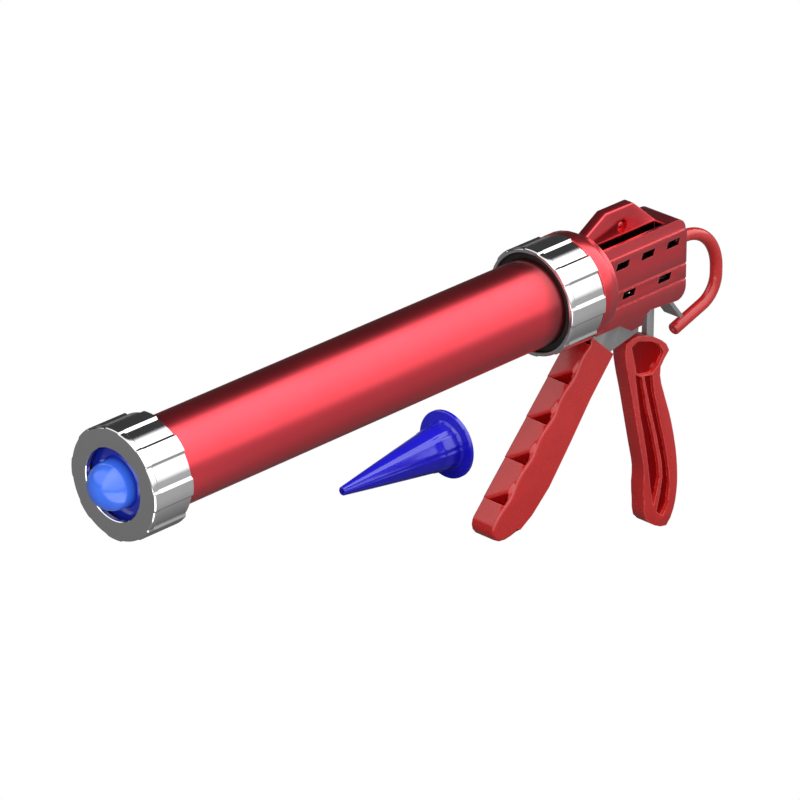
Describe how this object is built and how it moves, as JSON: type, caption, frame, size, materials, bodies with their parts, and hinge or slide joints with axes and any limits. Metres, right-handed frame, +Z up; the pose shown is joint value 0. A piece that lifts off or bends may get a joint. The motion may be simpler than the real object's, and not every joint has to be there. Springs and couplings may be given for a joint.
{
  "type": "caulking gun",
  "caption": "Hand-operated caulking gun for sausage packs: red barrel between two chrome ridged rings, squeeze trigger, hooked rod, and a loose blue nozzle.",
  "frame": {"origin": "the middle of the fixed hand grip, on the plane through the barrel axis", "axes": "+Z up, +X along the barrel from the front cap towards the hook"},
  "size_m": [0.5348, 0.2039, 0.235],
  "materials": {
    "chrome": "polished plate",
    "anodised_red": "satin red anodised, fine lengthwise grain",
    "red_paint": "semi-gloss red powder coat on a die casting",
    "red_handle": "semi-gloss moulded red",
    "red_rod": "gloss red coated steel rod",
    "grey_metal": "bead-blasted grey",
    "steel": "bright zinc plate",
    "spring_steel": "oiled spring steel",
    "rubber": "matte black",
    "bronze": "sintered bronze",
    "blue_plastic": "gloss moulded blue",
    "deep_blue_plastic": "semi-gloss moulded deep blue"
  },
  "bodies": {
    "frame": {"body_housing": "red_paint", "front_rod_bush": "bronze", "rear_rod_bush": "bronze", "fin_rivet": "red_paint", "spring_seat": "steel", "drive_spring": "spring_steel", "brake_spring": "spring_steel", "pivot_pin": "steel", "pivot_spacer_near": "steel", "pivot_spacer_far": "steel", "grip_core": "grey_metal", "grip_shell": "red_handle", "core_pin": "steel", "grip_screw": "steel", "release_pin": "steel", "barrel_gasket": "rubber"},
    "barrel": {"barrel_tube": "anodised_red"},
    "ring_slider": {"ring_washer": "steel"},
    "ring": {"rear_ring": "chrome"},
    "cap_slider": {"cap_liner": "rubber"},
    "cap": {"front_cap": "chrome"},
    "drive": {"drive_plate": "steel"},
    "trigger": {"trigger_lever": "grey_metal", "trigger_sleeve": "red_handle", "roller_pin": "steel"},
    "roller": {"trigger_roller": "steel"},
    "release": {"release_lever": "grey_metal"},
    "rod_slider": {"plunger_seal": "rubber"},
    "rod": {"hook_rod": "red_rod", "plunger": "blue_plastic", "backing_washer": "steel", "plunger_nut": "steel"},
    "loose_nozzle": {"nozzle": "deep_blue_plastic"}
  },
  "joints": [
    {"name": "barrel_swivel", "type": "hinge", "parent": "frame", "child": "barrel", "pos_m": [-0.255, 0, 0.112], "axis": [1, 0, 0], "continuous": true},
    {"name": "ring_travel", "type": "slide", "parent": "frame", "child": "ring_slider", "axis": [-1, 0, 0], "range_m": [0, 0.0091]},
    {"name": "ring_turn", "type": "hinge", "parent": "ring_slider", "child": "ring", "pos_m": [-0.095, 0, 0.112], "axis": [1, 0, 0], "range_deg": [0, 1080]},
    {"name": "cap_travel", "type": "slide", "parent": "barrel", "child": "cap_slider", "axis": [-1, 0, 0], "range_m": [0, 0.0121]},
    {"name": "cap_turn", "type": "hinge", "parent": "cap_slider", "child": "cap", "pos_m": [-0.44, 0, 0.112], "axis": [-1, 0, 0], "range_deg": [0, 1440]},
    {"name": "trigger_pull", "type": "hinge", "parent": "frame", "child": "trigger", "pos_m": [-0.0335, 0, 0.082], "axis": [0, -1, 0], "range_deg": [0, 22], "stiffness_Nm_per_rad": 0.8, "springref_deg": -34.38},
    {"name": "drive_travel", "type": "slide", "parent": "frame", "child": "drive", "axis": [-1, 0, 0], "range_m": [0, 0.0075], "deforming": ["drive_spring"]},
    {"name": "roller_spin", "type": "hinge", "parent": "trigger", "child": "roller", "pos_m": [-0.033, 0, 0.1015], "axis": [0, -1, 0], "continuous": true},
    {"name": "release_press", "type": "hinge", "parent": "frame", "child": "release", "pos_m": [0.008, 0, 0.1202], "axis": [0, 1, 0], "range_deg": [0, 4], "stiffness_Nm_per_rad": 0.3, "springref_deg": -20.05},
    {"name": "rod_slide", "type": "slide", "parent": "frame", "child": "rod_slider", "axis": [1, 0, 0], "range_m": [0, 0.335]},
    {"name": "rod_turn", "type": "hinge", "parent": "rod_slider", "child": "rod", "pos_m": [-0.255, 0, 0.112], "axis": [1, 0, 0], "continuous": true},
    {"name": "nozzle_lift", "type": "slide", "parent": "frame", "child": "loose_nozzle", "axis": [0, 0, 1], "range_m": [0, 0.08]}
  ],
  "couplings": [
    {"joint": "drive_travel", "follows": "trigger_pull", "m_per_rad": 0.01922},
    {"joint": "ring_travel", "follows": "ring_turn", "m_per_rad": 0.0004775},
    {"joint": "cap_travel", "follows": "cap_turn", "m_per_rad": 0.0004775}
  ]
}
